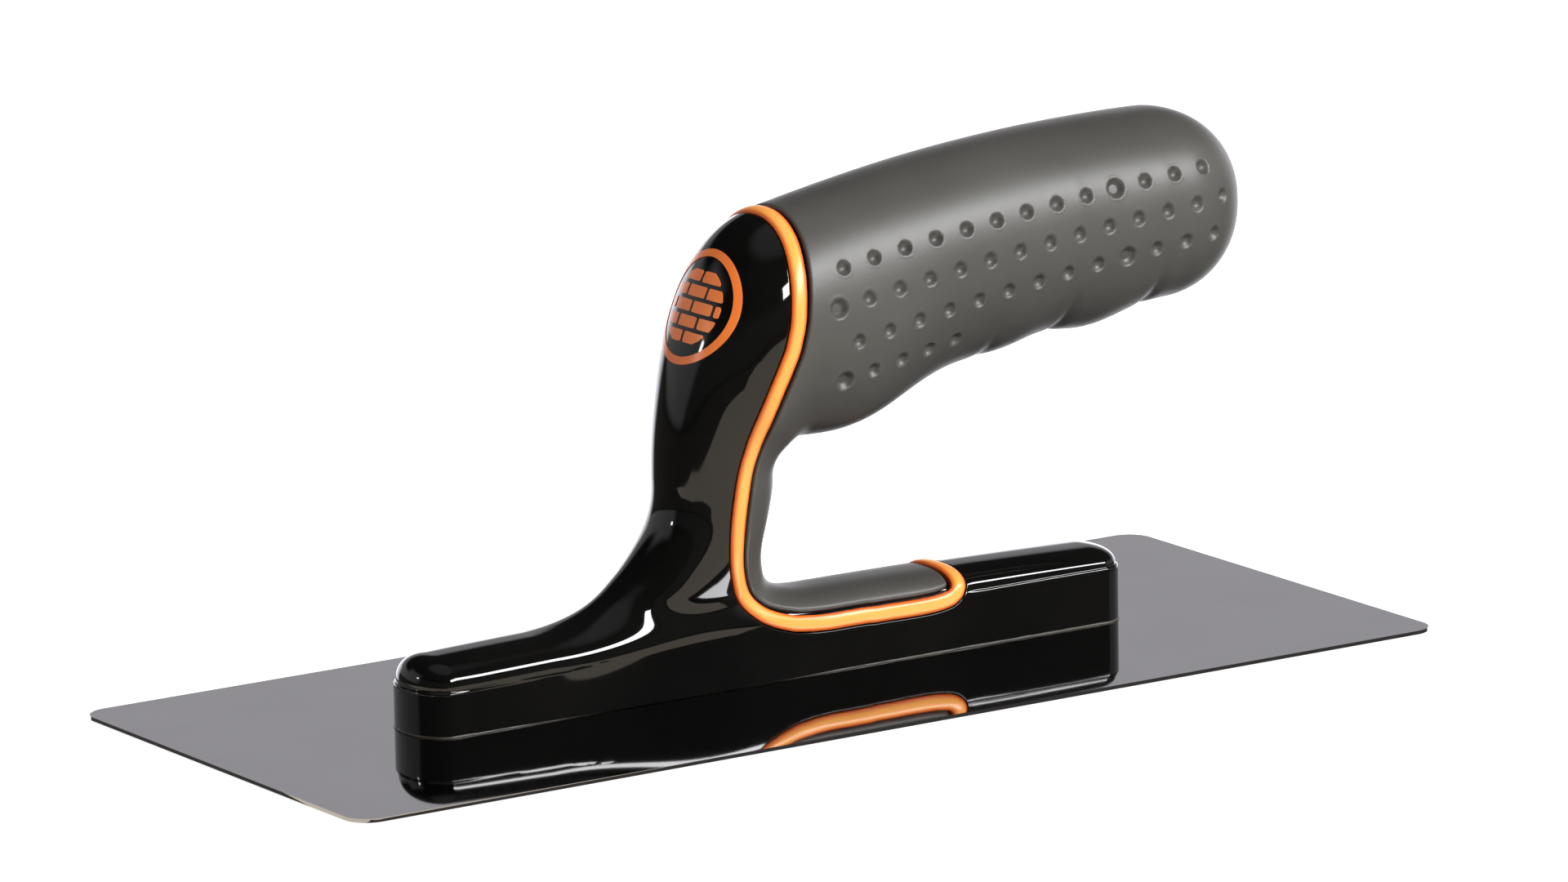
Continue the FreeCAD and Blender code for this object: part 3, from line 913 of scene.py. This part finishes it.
finishes = {
    "blackGloss": dict(
        dark=(0.002, 0.002, 0.0019), light=(0.0042, 0.004, 0.0036), roughness=0.05, spread=0.03,
        grainScale=700, grainDepth=0.00002, bump=0.05, ior=1.46,
    ),
    "softGrey": dict(
        dark=(0.056, 0.054, 0.049), light=(0.068, 0.066, 0.06), roughness=0.42, spread=0.06,
        grainScale=3500, grainDepth=0.00006, bump=0.35,
    ),
    # rim is a painted shade down the strip's sides, where they turn away from the light, not the strip's
    # own colour
    "brightStrip": dict(
        dark=(1.0, 0.36, 0.06), light=(1.0, 0.43, 0.09), rim=(0.8, 0.13, 0.012), roughness=0.3, spread=0.08,
        grainScale=2500, grainDepth=0.00004, bump=0.2,
    ),
    "signPrint": dict(
        dark=(1.0, 0.2, 0.03), light=(1.0, 0.26, 0.05), roughness=0.25, spread=0.08,
        grainScale=2500, grainDepth=0.00003, bump=0.15,
    ),
    "mirrorSteel": dict(
        dark=(0.34, 0.335, 0.35), light=(0.365, 0.36, 0.375), roughness=0.035, spread=0.02,
        grainScale=400, grainDepth=0.00001, bump=0.02, metallic=1,
    ),
    "plainSteel": dict(
        dark=(0.4, 0.4, 0.4), light=(0.5, 0.5, 0.5), roughness=0.35, spread=0.1,
        grainScale=2000, grainDepth=0.00005, bump=0.2, metallic=1,
    ),
    "adhesive": dict(
        dark=(0.006, 0.006, 0.005), light=(0.055, 0.048, 0.034), roughness=0.4, spread=0.3,
        grainScale=900, grainDepth=0.0003, bump=0.8,
    ),
}
material = {name: surface(name, look) for name, look in finishes.items()}
dress(handleBody, material["blackGloss"])
dress(softGrip, material["softGrey"])
dress(seamStrip, material["brightStrip"])
dress(noseBadge, material["signPrint"])
dress(bondBead, material["adhesive"])
for node, finish in (
    ("blade", "mirrorSteel"), ("blade_studs", "plainSteel"), ("bar_screws", "plainSteel"),
    ("stiffening_bar", "plainSteel"), ("core_plug", "blackGloss"), ("bond_film", "adhesive"),
):
    dress(frame["nodes"][node], material[finish])
print("finishes:", ", ".join(finishes))


# floor, light and camera

studio = {
    "floorZ": -0.0002,
    "floorShade": 0.55,
    "floorGlow": 0.85,
    "backdrop": (0.95, 0.95, 0.95),      # past the floor's edge
    "room": (0.02, 0.02, 0.021),         # what gloss sees where nothing is lit
    "ground": (0.1, 0.095, 0.085),
    "ceiling": (0.3, 0.295, 0.3),
    "wall": (0.54, 0.53, 0.55),          # pale wall at the back and sides
    "dimWall": (0.1, 0.098, 0.095),      # the same wall beside the front light
    "sweep": (2.4, 2.36, 2.5),           # lit paper sweep behind
    "sweepSide": (0.53, 0.82, 0.0),      # the way to it
    # edges, from where a mask is nought to where it is full: up is 0 at the horizon and 1 overhead,
    # side is 1 towards the sweep and -1 away from it
    "groundUp": (0.02, -0.02),
    "ceilingUp": (0.84, 0.96),
    "wallFoot": (0.0, 0.06),
    "lowWallUp": (0.4, 0.28),
    "highWallUp": (0.6, 0.45),           # taller at the sides, away from the sweep
    "highWallSide": (0.5, 0.25),
    "paleWallSide": (-0.3, -0.08),
    "sweepUp": (0.19, 0.11),
    "sweepAcross": (0.7, 0.85),
    "frontBox": dict(place=(0.4, -0.99, 0.69), aim=(0, 0, 0.05), size=(1.12, 0.22), power=25),
    "cornerBox": dict(place=(-1.05, 0.47, 0.38), aim=(0, 0, 0.05), size=(0.08, 0.08), power=0.5),
    "overhead": dict(place=(0, 0.6, 2.6), aim=(0, 0.2, 0), size=(3.0, 3.0), power=26),
    "table": (1.35, 1.2, 0.98),          # lit stretch of table in front, as gloss sees it
    "tableEdge": (
        (-0.21, 0.03), (-0.25, -0.07), (-0.18, -0.14), (-0.15, -0.24), (-0.3, -0.55), (-0.62, -1.5),
        (1.0, -1.6), (0.45, -0.7), (0.21, -0.26), (0.12, -0.165), (0.06, -0.095), (0.02, -0.053),
        (-0.118, -0.052), (-0.124, 0.0), (-0.126, 0.055),
    ),
    "camera": {
        "aim": (0.00844, 0.00587, 0.04245),
        "azimuth": -33.2445,
        "elevation": 12.6601,
        "roll": -1.0077,
        "distance": 1.944503,
        "lens": 237.55,
    },
}


def stagePiece(name, outline, z, material):
    data = bpy.data.meshes.new(name)
    data.from_pydata([(x, y, z) for x, y in outline], [], [tuple(range(len(outline)))])
    piece = bpy.data.objects.new(name, data)
    bpy.context.scene.collection.objects.link(piece)
    dress(piece, material)
    return piece


pale = bpy.data.materials.new("paleFloor")
pale.use_nodes = True
paleShader = pale.node_tree.nodes["Principled BSDF"]
paleShader.inputs["Base Color"].default_value = (*[studio["floorShade"]] * 3, 1)
paleShader.inputs["Roughness"].default_value = 1.0
paleShader.inputs["Specular IOR Level"].default_value = 0.0
paleShader.inputs["Emission Color"].default_value = (1, 1, 1, 1)
seen = pale.node_tree.nodes.new("ShaderNodeLightPath")
lift = pale.node_tree.nodes.new("ShaderNodeMath")
lift.operation = "MULTIPLY"
lift.inputs[1].default_value = studio["floorGlow"]
link(pale.node_tree, seen.outputs["Is Camera Ray"], lift.inputs[0])
link(pale.node_tree, lift.outputs[0], paleShader.inputs["Emission Strength"])
floor = stagePiece("floor", [(-6, -6), (6, -6), (6, 6), (-6, 6)], studio["floorZ"], pale)
floor.visible_glossy = False             # gloss sees the table's lit stretch and the room instead

lit = bpy.data.materials.new("litTable")
lit.use_nodes = True
lit.node_tree.nodes.remove(lit.node_tree.nodes["Principled BSDF"])
glow = lit.node_tree.nodes.new("ShaderNodeEmission")
glow.inputs["Color"].default_value = (*studio["table"], 1)
link(lit.node_tree, glow.outputs[0], lit.node_tree.nodes["Material Output"].inputs["Surface"])
table = stagePiece("lit_table", studio["tableEdge"], studio["floorZ"] / 2, lit)
table.visible_camera = table.visible_diffuse = table.visible_shadow = False


def buildRoom():
    # dim room with a pale wall round its back and sides, and a bright sweep behind
    world = bpy.data.worlds.new("studio")
    bpy.context.scene.world = world
    world.use_nodes = True
    tree = world.node_tree
    back = tree.nodes["Background"]
    place = tree.nodes.new("ShaderNodeTexCoord")
    parts = tree.nodes.new("ShaderNodeSeparateXYZ")
    link(tree, place.outputs["Generated"], parts.inputs[0])

    def stepped(source, edge):
        ramp = tree.nodes.new("ShaderNodeMapRange")
        ramp.interpolation_type = "SMOOTHSTEP"
        ramp.inputs["From Min"].default_value, ramp.inputs["From Max"].default_value = studio[edge]
        link(tree, source, ramp.inputs["Value"])
        return ramp.outputs[0]

    def times(one, two):
        node = tree.nodes.new("ShaderNodeMath")
        node.operation = "MULTIPLY"
        link(tree, one, node.inputs[0])
        link(tree, two, node.inputs[1])
        return node.outputs[0]

    def painted(under, mask, colour):
        node = tree.nodes.new("ShaderNodeMix")
        node.data_type = "RGBA"
        link(tree, mask, node.inputs["Factor"])
        if isinstance(under, tuple):
            node.inputs["A"].default_value = (*under, 1)
        else:
            link(tree, under, node.inputs["A"])
        node.inputs["B"].default_value = (*colour, 1)
        return node.outputs["Result"]

    up = parts.outputs["Z"]
    towards = tree.nodes.new("ShaderNodeVectorMath")
    towards.operation = "DOT_PRODUCT"
    link(tree, place.outputs["Generated"], towards.inputs[0])
    towards.inputs[1].default_value = Vector(studio["sweepSide"]).normalized()
    side = towards.outputs["Value"]

    footing = stepped(up, "wallFoot")
    beside = stepped(side, "paleWallSide")
    lowWall = times(stepped(up, "lowWallUp"), footing)
    highWall = times(times(stepped(up, "highWallUp"), footing), stepped(side, "highWallSide"))
    colour = painted(studio["room"], stepped(up, "groundUp"), studio["ground"])
    colour = painted(colour, lowWall, studio["dimWall"])
    colour = painted(colour, stepped(up, "ceilingUp"), studio["ceiling"])
    colour = painted(colour, times(lowWall, beside), studio["wall"])
    colour = painted(colour, times(highWall, beside), studio["wall"])
    colour = painted(colour, times(stepped(up, "sweepUp"), stepped(side, "sweepAcross")), studio["sweep"])
    seen = tree.nodes.new("ShaderNodeLightPath")
    colour = painted(colour, seen.outputs["Is Camera Ray"], studio["backdrop"])
    link(tree, colour, back.inputs["Color"])


buildRoom()


def softbox(name):
    box = studio[name]
    light = bpy.data.lights.new(name, "AREA")
    light.shape = "RECTANGLE"
    light.size, light.size_y = box["size"]
    light.energy = box["power"]
    lamp = bpy.data.objects.new(name, light)
    lamp.location = box["place"]
    lamp.rotation_euler = (Vector(box["aim"]) - Vector(box["place"])).to_track_quat("-Z", "Y").to_euler()
    bpy.context.scene.collection.objects.link(lamp)
    return lamp


softbox("frontBox")
softbox("cornerBox")
softbox("overhead").visible_glossy = False

shot = studio["camera"]
az, el, roll = (math.radians(shot[k]) for k in ("azimuth", "elevation", "roll"))
backward = Vector((math.sin(az) * math.cos(el), -math.cos(az) * math.cos(el), math.sin(el)))
sideway = Vector((math.cos(az), math.sin(az), 0))
upward = backward.cross(sideway)
rightHand = sideway * math.cos(roll) + upward * math.sin(roll)
upHand = upward * math.cos(roll) - sideway * math.sin(roll)
cameraData = bpy.data.cameras.new("camera")
cameraData.lens = shot["lens"]
cameraData.sensor_width = 36
cameraData.clip_start, cameraData.clip_end = 0.05, 50
camera = bpy.data.objects.new("camera", cameraData)
turn = Matrix((rightHand, upHand, backward)).transposed().to_4x4()
camera.matrix_world = Matrix.Translation(Vector(shot["aim"]) + backward * shot["distance"]) @ turn
bpy.context.scene.collection.objects.link(camera)
bpy.context.scene.camera = camera
bpy.context.scene.view_settings.view_transform = "Standard"
print("studio set: floor, lit table, room, three lights, camera")
